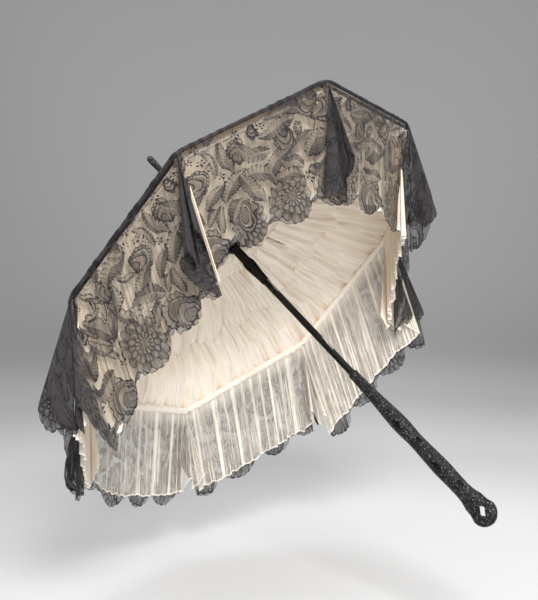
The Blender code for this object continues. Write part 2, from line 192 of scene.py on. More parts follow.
class Lace:
    """Motifs laid over a net. body and line are millimetres inside a motif or a thread; tone is density."""

    def __init__(self, length, height, pitch=0.5):
        self.length, self.height = length, height
        self.columns = int(round(length / pitch))
        self.rows = int(round(height / pitch)) + 1
        x = np.arange(self.columns) * length / self.columns
        y = np.arange(self.rows) * height / (self.rows - 1)
        self.x, self.y = np.meshgrid(x, y)
        self.waver()
        self.body = np.full(self.x.shape, -3.0)
        self.line = np.full(self.x.shape, -3.0)
        self.tone = np.zeros(self.x.shape)

    def waver(self):
        """Bends the drawing a little, so that no two motifs come out alike."""
        rng = seeded(3)
        x, y = self.x.copy(), self.y.copy()
        for turns, size in ((5, 2.4), (9, 1.0), (17, 0.32), (31, 0.12)):
            for axis in (self.x, self.y):
                for _ in range(2):
                    across = 2 * np.pi * rng.integers(turns - 2, turns + 3) / self.length
                    down = 2 * np.pi * turns / self.length * rng.uniform(0.5, 1.2)
                    axis += size * 0.7 * np.sin(across * x + down * y + rng.uniform(0, 2 * np.pi))

    def local(self, at, turn=0.0, mirror=1):
        dx = (self.x - at[0] + self.length / 2) % self.length - self.length / 2
        dy = self.y - at[1]
        c, s = math.cos(turn), math.sin(turn)
        return (c * dx + s * dy) * mirror, -s * dx + c * dy

    def lay(self, motif, moat=1.1):
        """Puts a motif over what is there, with a narrow clear border round it."""
        body, line, tone = motif
        on = body > -moat
        self.body[on] = body[on]
        self.line[on] = np.maximum(line, OUTLINE - np.abs(body))[on]
        self.tone[on] = tone[on]

    def fit(self, motif, most=0.10, moat=1.1):
        """Puts a motif down only where it hides little of the others."""
        inside = motif[0] > 0
        if (inside & (self.body > 0)).sum() <= most * max(inside.sum(), 1):
            self.lay(motif, moat)

    def dahlia(self, at, radius, petals, turn=0.0):
        """Tiers of petals round a dotted heart, each petal with a pale vein."""
        x, y = self.local(at, turn)
        r, share = np.hypot(x, y), np.arctan2(y, x) * petals / (2 * np.pi)
        petal_mm = 2 * np.pi / petals * r
        body = radius * (0.84 + 0.16 * np.abs(np.cos(np.pi * share)) ** 0.6) - r
        line = np.full(r.shape, -3.0)
        tone = np.full(r.shape, 0.5)
        for tier, (outer, inner) in enumerate(((1.0, 0.60), (0.66, 0.34), (0.40, 0.15))):
            shifted = share + 0.5 * (tier % 2) + 0.5
            petal, f = np.floor(shifted), shifted % 1.0
            inside = radius * outer * (0.84 + 0.16 * np.abs(np.cos(np.pi * (f - 0.5))) ** 0.6) - r
            on = inside > 0
            side, vein = np.minimum(f, 1 - f) * petal_mm, np.abs(f - 0.5) * petal_mm
            depth = np.clip((r - radius * inner) / (radius * (outer - inner)), 0, 1)
            shade = 0.30 + 0.30 * (petal % 2) + 0.45 * (1 - depth)
            pale = (vein < 0.5 + 0.2 * depth) & (depth > 0.2) & (depth < 0.8)
            tone = np.where(on, np.where(pale, 0.0, shade), tone)
            edge = np.maximum(THREAD - side, THREAD - np.abs(inside))
            line = np.where(on, np.where(pale, -1.0, edge), np.maximum(line, THREAD - np.abs(inside)))
        heart = r < radius * 0.17
        dots = np.cos(x * 1.9) * np.cos(y * 1.9)
        tone = np.where(heart, np.where(dots > 0.15, 0.0, 0.9), tone)
        return body, np.where(heart, -1.0, line), tone

    def peony(self, at, radius, turn=0.0, mirror=1):
        """A cup of petals that wrap round one side, with a frill beyond them."""
        x, y = self.local(at, turn, mirror)
        r, angle = np.hypot(x, y), np.arctan2(y, x)
        body = radius * (0.92 + 0.07 * np.cos(5 * angle) + 0.03 * np.cos(15 * angle)) - r
        line = np.full(r.shape, -3.0)
        tone = np.full(r.shape, 0.35)
        for step, share in enumerate((0.80, 0.56, 0.34)):
            shift = radius * 0.14 * (step + 1)
            ring = radius * share - np.hypot(x - shift, y - shift * 0.9)
            tone = np.where(ring > 0, 0.25 + 0.5 * ((step + 1) % 2), tone)
            line = np.maximum(line, THREAD - np.abs(ring))
            pale = (np.abs(ring - 1.8) < 0.55) & (x + y < -0.1 * radius)
            tone = np.where(pale, 0.0, tone)
            line = np.where(pale, -1.0, line)
        rays = np.abs(((angle * 10 / np.pi) % 1) - 0.5) * r * np.pi / 10
        outer = r > radius * 0.62
        line = np.where(outer, np.maximum(line, THREAD * 0.8 - rays), line)
        return body, line, tone

    def leaf(self, at, length, width, turn, bend=0.3, mirror=1, teeth=8):
        """A toothed leaf that curls to one side of a pale midrib, dark on its shaded half."""
        x, y = self.local(at, turn, mirror)
        t = np.clip(x / length, 0, 1)
        side = y - bend * length * t * t
        reach = width * np.sin(np.pi * t) ** 0.65 * (0.80 + 0.20 * np.abs(np.sin(np.pi * teeth * t)))
        past = np.maximum(-x, x - length)
        body = np.where(past > 0, -np.hypot(past, np.abs(side)), reach - np.abs(side))
        ribs = np.abs(((t * teeth - np.abs(side) / width * 0.9) % 1.0) - 0.5) * length / teeth
        midrib = np.abs(side) < 0.5
        shade = np.where(side > 0, 0.85, 0.35) + 0.2 * np.sin(9 * t)
        tone = np.where(midrib, 0.0, np.where(ribs < 0.6, shade + 0.3, shade))
        return body, np.where(midrib, -1.0, THREAD * 0.45 - ribs), tone

    def medallion(self, at, wide, high, turn=0.0):
        """An oval of dark lattice in a ring of pale beads."""
        x, y = self.local(at, turn)
        q, angle = np.hypot(x / wide, y / high), np.arctan2(y / high, x / wide)
        size = min(wide, high)
        body = (1.0 + 0.06 * np.abs(np.cos(9 * angle)) - q) * size
        tone = np.where(q > 0.80, 0.35 + 0.4 * (np.cos(18 * angle) > 0), 0.9)
        ring = (q > 0.58) & (q < 0.80)
        tone = np.where(ring, np.where(np.cos(16 * angle) > 0.1, 0.0, 0.3), tone)
        lattice = np.minimum(np.abs(np.sin((x + y) * 0.62)), np.abs(np.sin((x - y) * 0.62)))
        tone = np.where(q < 0.58, np.where(lattice < 0.35, 1.0, 0.45), tone)
        line = np.maximum(THREAD - np.abs(q - 0.82) * size, THREAD - np.abs(q - 0.58) * size)
        return body, line, tone

    def sprig(self, at, size=2.5, turn=0.0):
        """Five dots round a sixth, on a short stem."""
        x, y = self.local(at, turn)
        body = 0.75 - np.hypot(x, y)
        for k in range(5):
            a = 2 * np.pi * k / 5
            petal = np.hypot(x - size * math.cos(a), y - size * math.sin(a))
            body = np.maximum(body, 0.38 * size - petal)
        stem = np.where((x > 0) & (x < 2.6 * size), 0.35 - np.abs(y - 0.06 * x * x), -3.0)
        body = np.maximum(body, stem)
        return body, body - 0.2, np.full(x.shape, 0.95)

    def stem(self, points, width=0.7):
        """A pale-edged thread through points on a smooth curve."""
        points = np.array(points, float)
        t = np.linspace(0, len(points) - 1, 60)
        soft = np.ones(9) / 9
        track = [np.interp(t, range(len(points)), points[:, k]) for k in (0, 1)]
        track = [np.convolve(np.pad(values, 4, "edge"), soft, "valid") for values in track]
        nearest = np.full(self.x.shape, 99.0)
        for at in zip(*track):
            nearest = np.minimum(nearest, np.hypot(*self.local(at)))
        body = width - nearest
        return body, body + 0.1, np.full(body.shape, 0.9)

    def sample(self, field, x, y):
        """The field at places in millimetres, repeated along x."""
        column = (x / self.length * self.columns) % self.columns
        row = np.clip(y / self.height * (self.rows - 1), 0, self.rows - 1.001)
        c0, r0 = np.floor(column).astype(int), np.floor(row).astype(int)
        fc, fr = column - c0, row - r0
        c1 = (c0 + 1) % self.columns
        c0 = c0 % self.columns
        low = field[r0, c0] * (1 - fc) + field[r0, c1] * fc
        high = field[r0 + 1, c0] * (1 - fc) + field[r0 + 1, c1] * fc
        return low * (1 - fr) + high * fr


HEM_MOTIFS = (
    # kind, place along the repeat, height above the hem, radius
    ("dahlia", 0.090, 30.0, 31.5),
    ("peony", 0.285, 21.0, 22.5),
    ("fan", 0.465, 24.0, 26.0),
    ("dahlia", 0.670, 27.0, 28.5),
    ("peony", 0.870, 22.0, 24.0),
)


def fill_with_flowers(lace, rng, low, high, sizes, tries):
    """Flowers and curling leaves wherever they fit, the large ones first, between two heights."""
    for size in sizes:
        for _ in range(tries):
            at = (rng.uniform(0, lace.length), rng.uniform(low, high))
            turn = rng.uniform(0, 2 * np.pi)
            kind = rng.choice(["peony", "dahlia", "leaf", "leaf", "leaf", "medallion"])
            if kind == "peony":
                lace.fit(lace.peony(at, size, turn, rng.choice([-1, 1])), 0.16, 0.8)
            elif kind == "dahlia" and size < 15:
                lace.fit(lace.dahlia(at, size, 7 + int(size / 4), turn), 0.16, 0.8)
            elif kind == "medallion" and 9 < size < 15:
                lace.fit(lace.medallion(at, size * 0.7, size * 0.95, turn), 0.10, 0.8)
            else:
                bend = rng.uniform(0.3, 0.6) * rng.choice([-1, 1])
                lace.fit(lace.leaf(at, size * 2.2, size * 0.55, turn, bend, 1, 5 + int(size / 4)), 0.25, 0.8)


def fill_with_sprigs(lace, rng, count, low, high):
    for _ in range(count):
        at = (rng.uniform(0, lace.length), rng.uniform(low, high))
        lace.fit(lace.sprig(at, rng.uniform(2.7, 3.8), rng.uniform(0, 2 * np.pi)), 0.02, 0.3)


def draw_flounce_lace(length, width):
    """One repeat of the flounce's lace: flowers along the hem, sprays over them, sprigs at the top."""
    lace = Lace(length, width + 4)
    rng = seeded(7)
    for k in range(5):
        x = (k + 0.98) * length / 5
        for side in (-1, 1):
            at = (x + side * 10, width - 17)
            lace.lay(lace.leaf(at, 24, 6.5, math.pi / 2 + side * 1.2, 0.3 * side, 1, 7))
    for kind, place, lift, radius in HEM_MOTIFS:
        at = (place * length, width - lift)
        if kind == "dahlia":
            lace.lay(lace.dahlia(at, radius, 14))
        elif kind == "peony":
            lace.lay(lace.peony(at, radius, 0.4))
        else:
            lace.lay(lace.dahlia(at, radius, 17))
            lace.lay(lace.medallion((at[0], at[1] - 8), 13, 16))
    for k in range(5):
        x = (k + 0.45) * length / 5
        low, high = width - 58, 22 + 12 * (k % 2)
        route = [(x - 24, low), (x - 26, low - 16), (x - 4, (low + high) / 2), (x + 12, high)]
        lace.fit(lace.stem(route), 0.5, 0.4)
        lace.fit(lace.peony((x + 12, high + 4), 14.5, 0.8 * k, (-1) ** k), 0.2)
        lace.fit(lace.leaf((x - 24, low), 44, 9.0, -1.0, 0.45, 1, 12), 0.3)
        lace.fit(lace.leaf((x + 2, low + 6), 38, 8.5, -2.3, -0.42, 1, 11), 0.3)
    fill_with_flowers(lace, rng, 4, width - 34, (20, 16, 13, 10, 8, 6), 46)
    fill_with_sprigs(lace, rng, 340, 3, width - 14)
    return lace


def hem_of(lace, width, x):
    """How far the scalloped hem reaches at x, in millimetres from the rim."""
    reach = np.full(np.shape(x), width - 11.0)
    for _, place, lift, radius in HEM_MOTIFS:
        dx = (x - place * lace.length + lace.length / 2) % lace.length - lace.length / 2
        lobe = width - lift + np.sqrt(np.maximum((radius + 1.2) ** 2 - dx**2, 0))
        reach = np.maximum(reach, np.where(np.abs(dx) < radius, lobe, 0))
    reach = reach - 1.9 * (1 - np.abs(np.sin(np.pi * x / 9.3))) ** 1.5
    return reach - 0.5 * (1 - np.abs(np.sin(np.pi * x / 3.1)))


def draw_cover_lace(length, width):
    """An all-over lace for the cover: flowers and sprays with sprigs between them."""
    lace = Lace(length, width)
    rng = seeded(19)
    fill_with_flowers(lace, rng, 0, width, (22, 17, 13, 10, 7), 44)
    fill_with_sprigs(lace, rng, 420, 2, width - 2)
    return lace


# Flounces: curtains that fall straight from the rim, gathered into folds at the ribs


def side_frame(side):
    """The rim between rib tips side and side + 1 (from 0), with the directions that its curtain hangs by."""
    scale = FLOUNCE_RIM / RIM_R
    start = CENTRE + (TIPS[side % RIBS] - CENTRE) * scale
    end = CENTRE + (TIPS[(side + 1) % RIBS] - CENTRE) * scale
    along = unit(end - start)
    level = unit([along[0], along[1], 0.0])
    outward = np.array([level[1], -level[0], 0.0])
    if outward @ (start + end - 2 * CENTRE) < 0:
        outward = -outward
    climb = along[2]
    return {
        "start": start,
        "along": along,
        "level": level,
        "outward": outward,
        "length": float(np.linalg.norm(end - start)),
        "sine": math.sqrt(1 - climb**2),
        "climb": climb,
    }


SIDES = [side_frame(k) for k in range(RIBS)]


def lean_of(side):
    """How far a panel leans along its level direction for each metre of fall, towards its higher end."""
    return SWING * SIDES[side % RIBS]["climb"]


def drop_of(side, width):
    """The fall that takes the cloth its width square to the rim."""
    s = SIDES[side % RIBS]
    return width / (s["sine"] + abs(lean_of(side) * s["climb"]))


def ripple(side, s, wavelengths, seed):
    """A wavy height along one side of the rim, from -1 to 1, the same from either end's rib."""
    rng = seeded(seed, side % RIBS)
    total = np.zeros(np.shape(s))
    for wavelength, share in wavelengths:
        for k in range(2):
            length = wavelength * rng.uniform(0.82, 1.22)
            total = total + share * 0.6 * np.sin(2 * np.pi * (s / length + rng.uniform()))
    return total


def catmull(control, count):
    """Points on a smooth curve through the control points."""
    control = np.asarray(control, float)
    padded = np.vstack([2 * control[0] - control[1], control, 2 * control[-1] - control[-2]])
    t = np.linspace(0, len(control) - 1, count)
    i = np.minimum(t.astype(int), len(control) - 2)
    f = (t - i)[:, None]
    a, b, c, d = padded[i], padded[i + 1], padded[i + 2], padded[i + 3]
    return 0.5 * (2 * b + (c - a) * f + (2 * a - 5 * b + 4 * c - d) * f**2 + (3 * b - 3 * c + d - a) * f**3)


def even(points, step):
    """Shares of the curve's parameter that put points at even steps along it."""
    run = np.concatenate([[0], np.cumsum(np.linalg.norm(np.diff(points, axis=0), axis=1))])
    count = max(int(round(run[-1] / step)), 2)
    return np.interp(np.linspace(0, run[-1], count + 1), run, np.linspace(0, 1, len(points)))


class Curtain:
    """One rib's share of a flounce, from the middle of one side of the rim to the middle of the next.

    Its columns are threads that fall from the rim. fold lists the corner's gather as (stands out, to the
    side) for each metre of fall, and a column's drop falls short by rise for each metre that it stands out.
    """

    def __init__(self, n, width, fold, rise, offset, step, waves, sway, point_drop, spread, seed):
        self.n, self.width, self.offset = n, width, offset
        self.waves, self.sway, self.seed = waves, sway, seed
        self.first, self.second = SIDES[(n - 1) % RIBS], SIDES[n]
        self.corner = self.second["start"]
        self.bisector = unit(self.first["outward"] + self.second["outward"])
        self.across = unit(np.cross(self.bisector, DOWN))
        if self.across @ (self.second["level"] + self.first["level"]) < 0:
            self.across = -self.across
        self.fold_control = np.array(fold, float)
        half = self.first["length"] / 2
        panel = int(round(half / step))
        reach = drop_of(n, width)
        control = self.fold_control * reach * spread
        curve = catmull(control, 400)
        share = even(curve, step)
        self.spread = spread
        at = catmull(self.fold_control, 400)
        fold_xy = np.stack([np.interp(share, np.linspace(0, 1, 400), at[:, k]) for k in (0, 1)], -1)
        zero = np.zeros((panel, 2))
        self.fold_xy = np.vstack([zero, fold_xy, zero])
        self.blend = np.concatenate([np.zeros(panel), share, np.ones(panel)])
        along = np.arange(panel) / panel * half
        beyond = (np.arange(panel) + 1.0) / panel * half
        inner = np.full(len(share), half)
        self.s1 = np.concatenate([along, inner, np.full(panel, half)])
        self.s2 = np.concatenate([np.zeros(panel), np.zeros(len(share)), beyond])
        self.panel, self.inside = panel, len(share)
        drop1, drop2 = drop_of(n - 1, width), drop_of(n, width)
        out = self.fold_xy[:, 0] * spread * (drop1 + drop2) / 2
        self.drop = drop1 + (drop2 - drop1) * self.blend
        near = np.exp(-(((self.s1 - half) / 0.035) ** 2)) * np.exp(-((self.s2 / 0.035) ** 2))
        self.drop = self.drop + point_drop * near - rise * np.abs(out)

    def points(self, fall):
        """World points of every column at its own fall, rows by columns."""
        n = self.n
        fall = np.asarray(fall)
        on1 = np.zeros(len(self.s1), bool)
        on1[: self.panel] = True
        on2 = np.zeros(len(self.s1), bool)
        on2[self.panel + self.inside :] = True
        half = self.first["length"] / 2
        lean1, lean2 = lean_of(n - 1), lean_of(n)
        end1 = self.corner + fall[..., None] * (lean1 * self.first["level"])
        end2 = self.corner + fall[..., None] * (lean2 * self.second["level"])
        near1, near2 = (self.s1 - half)[:, None], self.s2[:, None]
        first = end1 + near1 * self.first["along"]
        second = end2 + near2 * self.second["along"]
        blend = self.blend[None, :, None]
        ease = blend * blend * (3 - 2 * blend)
        fold = end1 + (end2 - end1) * ease
        base = np.where(on1[None, :, None], first, np.where(on2[None, :, None], second, fold))
        out = self.fold_xy[None, :, 0] * self.spread * fall
        side = self.fold_xy[None, :, 1] * self.spread * fall
        base = base + out[..., None] * self.bisector + side[..., None] * self.across
        share = np.clip(fall / self.width, 0, 1.3)
        wave1 = ripple(n - 1, self.s1 + half, self.waves, self.seed)
        wave2 = ripple(n, self.s2, self.waves, self.seed)
        bulge = self.sway * (0.12 + 0.88 * share**1.1) * np.where(on2, wave2, wave1)[None, :]
        normal = np.where(on1[:, None], self.first["outward"], self.second["outward"])
        mixed = self.first["outward"] + (self.second["outward"] - self.first["outward"]) * self.blend[:, None]
        normal = np.where((on1 | on2)[:, None], normal, mixed)
        fade = np.where(on1 | on2, 1.0, np.abs(2 * self.blend - 1) ** 3)
        base = base + (bulge * fade)[..., None] * normal[None] + self.offset * normal[None]
        return base + fall[..., None] * DOWN

    def cloth_x(self, points, offsets):
        """The pattern's place along the cloth for every point, given each side's starting place."""
        first = (points - self.corner) @ self.first["along"] + offsets[0]
        second = (points - self.corner) @ self.second["along"] + offsets[1]
        a, b = self.panel - 1, self.panel + self.inside
        blend = self.blend[None, :]
        fold = first[:, a : a + 1] + (second[:, b : b + 1] - first[:, a : a + 1]) * blend
        x = np.where(np.arange(len(self.s1))[None, :] < self.panel, first, fold)
        return np.where(np.arange(len(self.s1))[None, :] >= b, second, x)

    def cloth_y(self, fall):
        """The pattern's place from the rim for every point, so that the hem is at the cloth's width."""
        return fall / self.drop[None, :] * self.width


# Materials


SHADER_INPUTS = {
    "sheen": "Sheen Weight",
    "sheen_rough": "Sheen Roughness",
    "specular": "Specular IOR Level",
    "metallic": "Metallic",
    "coat": "Coat Weight",
    "coat_rough": "Coat Roughness",
    "rough": "Roughness",
}


def settle(shader, **values):
    """Sets constant shader inputs by the short names above."""
    for key, value in values.items():
        shader.inputs[SHADER_INPUTS[key]].default_value = value


def new_material(name):
    made = bpy.data.materials.new(name)
    made.use_nodes = True
    tree = made.node_tree
    return made, tree, tree.nodes["Principled BSDF"]


class Wires:
    """Short calls for the node trees below."""

    def __init__(self, tree):
        self.tree = tree

    def node(self, kind, **settings):
        made = self.tree.nodes.new(kind)
        for key, value in settings.items():
            setattr(made, key, value)
        return made

    def plug(self, socket, value):
        if hasattr(value, "is_output"):
            self.tree.links.new(value, socket)
        elif value is not None:
            socket.default_value = value

    def math(self, operation, a, b=None, clamp=False):
        made = self.node("ShaderNodeMath", operation=operation, use_clamp=clamp)
        self.plug(made.inputs[0], a)
        self.plug(made.inputs[1], b)
        return made.outputs[0]

    def ramp(self, value, low, high, to_low=0.0, to_high=1.0):
        made = self.node("ShaderNodeMapRange", interpolation_type="SMOOTHSTEP")
        self.plug(made.inputs["Value"], value)
        for key, number in zip(("From Min", "From Max", "To Min", "To Max"), (low, high, to_low, to_high)):
            made.inputs[key].default_value = number
        return made.outputs["Result"]

    def mix(self, share, a, b):
        made = self.node("ShaderNodeMix", data_type="RGBA")
        self.plug(made.inputs["Factor"], share)
        self.plug(made.inputs["A"], (*a, 1) if isinstance(a, tuple) else a)
        self.plug(made.inputs["B"], (*b, 1) if isinstance(b, tuple) else b)
        return made.outputs["Result"]

    def blend(self, share, a, b):
        made = self.node("ShaderNodeMix", data_type="FLOAT")
        self.plug(made.inputs["Factor"], share)
        self.plug(made.inputs["A"], a)
        self.plug(made.inputs["B"], b)
        return made.outputs["Result"]

    def attribute(self, name, output="Fac"):
        return self.node("ShaderNodeAttribute", attribute_name=name).outputs[output]

    def noise(self, scale, detail=3.0, vector=None, roughness=0.55):
        made = self.node("ShaderNodeTexNoise")
        made.inputs["Scale"].default_value = scale
        made.inputs["Detail"].default_value = detail
        made.inputs["Roughness"].default_value = roughness
        self.plug(made.inputs["Vector"], vector if vector is not None else self.place())
        return made.outputs["Fac"]

    def place(self):
        return self.node("ShaderNodeTexCoord").outputs["Object"]

    def scaled(self, vector, scale):
        made = self.node("ShaderNodeVectorMath", operation="MULTIPLY")
        self.plug(made.inputs[0], vector)
        made.inputs[1].default_value = scale
        return made.outputs[0]

    def bump(self, height, strength, distance, normal=None):
        made = self.node("ShaderNodeBump")
        made.inputs["Strength"].default_value = strength
        made.inputs["Distance"].default_value = distance
        self.plug(made.inputs["Height"], height)
        self.plug(made.inputs["Normal"], normal)
        return made.outputs["Normal"]


def net(w, cloth, mesh_mm, thread):
    """The hexagonal net ground, 1 on its threads."""
    cells = w.node("ShaderNodeTexVoronoi", feature="DISTANCE_TO_EDGE", voronoi_dimensions="2D")
    cells.inputs["Scale"].default_value = 1.0 / mesh_mm
    cells.inputs["Randomness"].default_value = 0.35
    w.plug(cells.inputs["Vector"], cloth)
    return w.ramp(cells.outputs["Distance"], thread * 0.6, thread * 1.3, 1.0, 0.0)


def weave(w, cloth, thread_mm):
    """Crossing threads, as a height from 0 to 1."""
    waves = []
    for direction in ("X", "Y"):
        wave = w.node("ShaderNodeTexWave", bands_direction=direction, wave_profile="SIN")
        wave.inputs["Scale"].default_value = 0.314 / thread_mm
        w.plug(wave.inputs["Vector"], cloth)
        waves.append(wave.outputs["Fac"])
    return w.math("MULTIPLY", waves[0], waves[1])


def lace_cover(w):
    """(coverage, thread colour, height) of lace from the drawn attributes."""
    cloth = w.attribute("cloth", "Vector")
    body, line, tone = (w.attribute(key) for key in ("body", "line", "tone"))
    ground = net(w, cloth, 1.15, 0.10)
    ground = w.math("MULTIPLY_ADD", ground, 0.56)
    ground.node.inputs[2].default_value = 0.20
    filling = w.math("MULTIPLY_ADD", tone, 0.42)
    filling.node.inputs[2].default_value = 0.47
    threads = weave(w, cloth, 0.45)
    filling = w.math("SUBTRACT", filling, w.math("MULTIPLY", threads, 0.16))
    solid = w.ramp(body, -0.3, 0.2)
    outline = w.ramp(line, -0.25, 0.3)
    cover = w.blend(solid, ground, filling)
    cover = w.blend(outline, cover, 0.96)
    cover = w.math("ADD", cover, w.math("MULTIPLY", w.attribute("gather"), 0.36), True)
    colour = w.mix(solid, (0.012, 0.011, 0.013), (0.026, 0.022, 0.022))
    colour = w.mix(outline, colour, (0.006, 0.005, 0.007))
    height = w.math("ADD", w.math("MULTIPLY", solid, 0.4), outline)
    return cover, colour, height


def black_lace():
    made, tree, shader = new_material("black_lace")
    w = Wires(tree)
    cover, colour, height = lace_cover(w)
    w.plug(shader.inputs["Alpha"], cover)
    w.plug(shader.inputs["Base Color"], colour)
    w.plug(shader.inputs["Normal"], w.bump(height, 0.5, 0.0004))
    w.plug(shader.inputs["Roughness"], w.blend(w.noise(90), 0.6, 0.85))
    settle(shader, sheen=0.04, specular=0.25)
    return made


def lace_over_silk():
    made, tree, shader = new_material("lace_over_silk")
    w = Wires(tree)
    cover, colour, height = lace_cover(w)
    cloud = w.noise(14, 4)
    silk = w.mix(cloud, (0.70, 0.57, 0.43), (0.80, 0.67, 0.53))
    seam = w.ramp(w.attribute("seam"), 0.0, 2.2, 1.0, 0.0)
    mixed = w.mix(cover, silk, colour)
    mixed = w.mix(w.math("MULTIPLY", seam, 0.75), mixed, (0.02, 0.018, 0.018))
    w.plug(shader.inputs["Base Color"], mixed)
    cloth = w.attribute("cloth", "Vector")
    first = w.bump(height, 0.5, 0.0004)
    w.plug(shader.inputs["Normal"], w.bump(weave(w, cloth, 0.4), 0.15, 0.0002, first))
    w.plug(shader.inputs["Roughness"], w.blend(cover, 0.5, 0.75))
    settle(shader, sheen=0.2)
    return made


def cream_lining():
    made, tree, shader = new_material("cream_lining")
    w = Wires(tree)
    cloth = w.attribute("cloth", "Vector")
    cloud = w.noise(11, 4)
    depth = w.attribute("depth")
    colour = w.mix(cloud, (0.90, 0.81, 0.69), (0.93, 0.86, 0.77))
    # painted shade: the lining turns darker brown where depth is high, in its folds and along the rib line
    colour = w.mix(w.ramp(depth, 0.5, 1.25), colour, (0.72, 0.57, 0.41))
    streaks = w.noise(9.0, 3, w.scaled(cloth, (0.55, 0.03, 1.0)))
    colour = w.mix(w.ramp(streaks, 0.55, 0.75, 0.0, 0.35), colour, (0.74, 0.60, 0.44))
    w.plug(shader.inputs["Base Color"], colour)
    fine = w.noise(60.0, 3, w.scaled(cloth, (0.035, 0.0035, 1.0)))
    first = w.bump(fine, 0.45, 0.0012)
    w.plug(shader.inputs["Normal"], w.bump(weave(w, cloth, 0.35), 0.12, 0.0002, first))
    w.plug(shader.inputs["Roughness"], w.blend(cloud, 0.55, 0.75))
    settle(shader, sheen=0.3, sheen_rough=0.35)
    return made


def sheer_chiffon():
    made, tree, shader = new_material("sheer_chiffon")
    w = Wires(tree)
    cloth = w.attribute("cloth", "Vector")
    fold = w.attribute("fold")
    cloud = w.noise(16, 4)
    colour = w.mix(cloud, (0.86, 0.78, 0.66), (0.91, 0.84, 0.74))
    # painted shade: away from the hem, where the chiffon is set close, it is darkened and warmed to stand for
    # the shaded lining behind it
    painted_interior_shade = w.math("MULTIPLY", w.attribute("full"), w.ramp(w.attribute("hem"), 2.0, 12.0))
    colour = w.mix(w.math("MULTIPLY", painted_interior_shade, 0.7), colour, (0.80, 0.64, 0.46))
    w.plug(shader.inputs["Base Color"], colour)
    streaks = w.noise(10.0, 3, w.scaled(cloth, (0.10, 0.006, 1.0)))
    pleats = w.noise(1.0, 2, w.scaled(cloth, (0.16, 0.009, 1.0)))
    dense = w.ramp(streaks, 0.42, 0.70, 0.0, 0.26)
    dense = w.math("ADD", dense, w.ramp(pleats, 0.50, 0.68, 0.0, 0.34))
    dense = w.math("ADD", dense, w.math("MULTIPLY", fold, 0.42))
    dense = w.math("ADD", dense, w.math("MULTIPLY", w.attribute("full"), 0.72))
    dense = w.math("ADD", dense, w.ramp(w.attribute("down"), 2.0, 26.0, 0.30, 0.0))
    dense = w.math("ADD", dense, 0.17)
    dense = w.math("ADD", dense, w.math("MULTIPLY", weave(w, cloth, 0.3), 0.06))
    hem = w.ramp(w.attribute("hem"), 0.8, 3.0, 0.42, 0.0)
    w.plug(shader.inputs["Alpha"], w.math("ADD", dense, hem, True))
    w.plug(shader.inputs["Normal"], w.bump(streaks, 0.3, 0.0008))
    w.plug(shader.inputs["Roughness"], w.blend(cloud, 0.5, 0.7))
    settle(shader, sheen=0.25)
    return made


def hard_black(name, colour, rough, grain_scale, bump_mm, stretch=(1, 1, 1), coat=0.0, metallic=0.0):
    made, tree, shader = new_material(name)
    w = Wires(tree)
    grain = w.noise(grain_scale, 5, w.scaled(w.place(), stretch))
    lighter = tuple(min(c * 1.8 + 0.002, 1) for c in colour)
    wear = w.ramp(w.noise(55, 6), 0.62, 0.78)
    worn = w.math("MULTIPLY", wear, 0.5)
    w.plug(shader.inputs["Base Color"], w.mix(worn, w.mix(grain, colour, lighter), lighter))
    w.plug(shader.inputs["Roughness"], w.blend(grain, rough - 0.08, rough + 0.14))
    w.plug(shader.inputs["Normal"], w.bump(grain, 0.5, bump_mm / 1000))
    settle(shader, metallic=metallic, specular=0.3 if metallic else 0.2, coat=coat, coat_rough=0.12)
    return made


def carved_ebony():
    """Ebonised wood stippled all over with small punched pits, painted darker in their hollows as shade and
    flecked with painted glints.
    """
    made, tree, shader = new_material("carved_ebony")
    w = Wires(tree)
    cells = w.node("ShaderNodeTexVoronoi", feature="F1")
    cells.inputs["Scale"].default_value = 430
    cells.inputs["Randomness"].default_value = 0.9
    w.plug(cells.inputs["Vector"], w.place())
    pits = w.ramp(cells.outputs["Distance"], 0.15, 0.55)
    swirl = w.noise(140, 4)
    # painted shade: each pit is painted darker towards its hollow middle
    colour = w.mix(pits, (0.0020, 0.0020, 0.0022), (0.007, 0.0065, 0.0065))
    # painted glints: pale flecks scattered over the black
    painted_glint = w.math("MULTIPLY", w.ramp(w.noise(520, 2), 0.55, 0.66), 0.6)
    w.plug(shader.inputs["Base Color"], w.mix(painted_glint, colour, (0.15, 0.15, 0.155)))
    w.plug(shader.inputs["Roughness"], w.blend(swirl, 0.30, 0.5))
    first = w.bump(pits, 0.9, 0.0006)
    w.plug(shader.inputs["Normal"], w.bump(swirl, 0.5, 0.0008, first))
    settle(shader, specular=0.18)
    return made


# painted glow: the sweep is painted lighter towards this direction from the pool's middle
PAINTED_GLOW_DIRECTION = (-0.65, 0.70, 0.30)  # where the back of the sweep is brightest
# distance from the middle of the painted pool of light as a share of the fade distance, tone
LIGHT_POOL_STOPS = ((0.0, 0.52), (1.0, 0.235), (0.10, 0.50), (0.24, 0.38), (0.42, 0.265), (0.62, 0.215))
LIGHT_POOL_FADE = 3.6


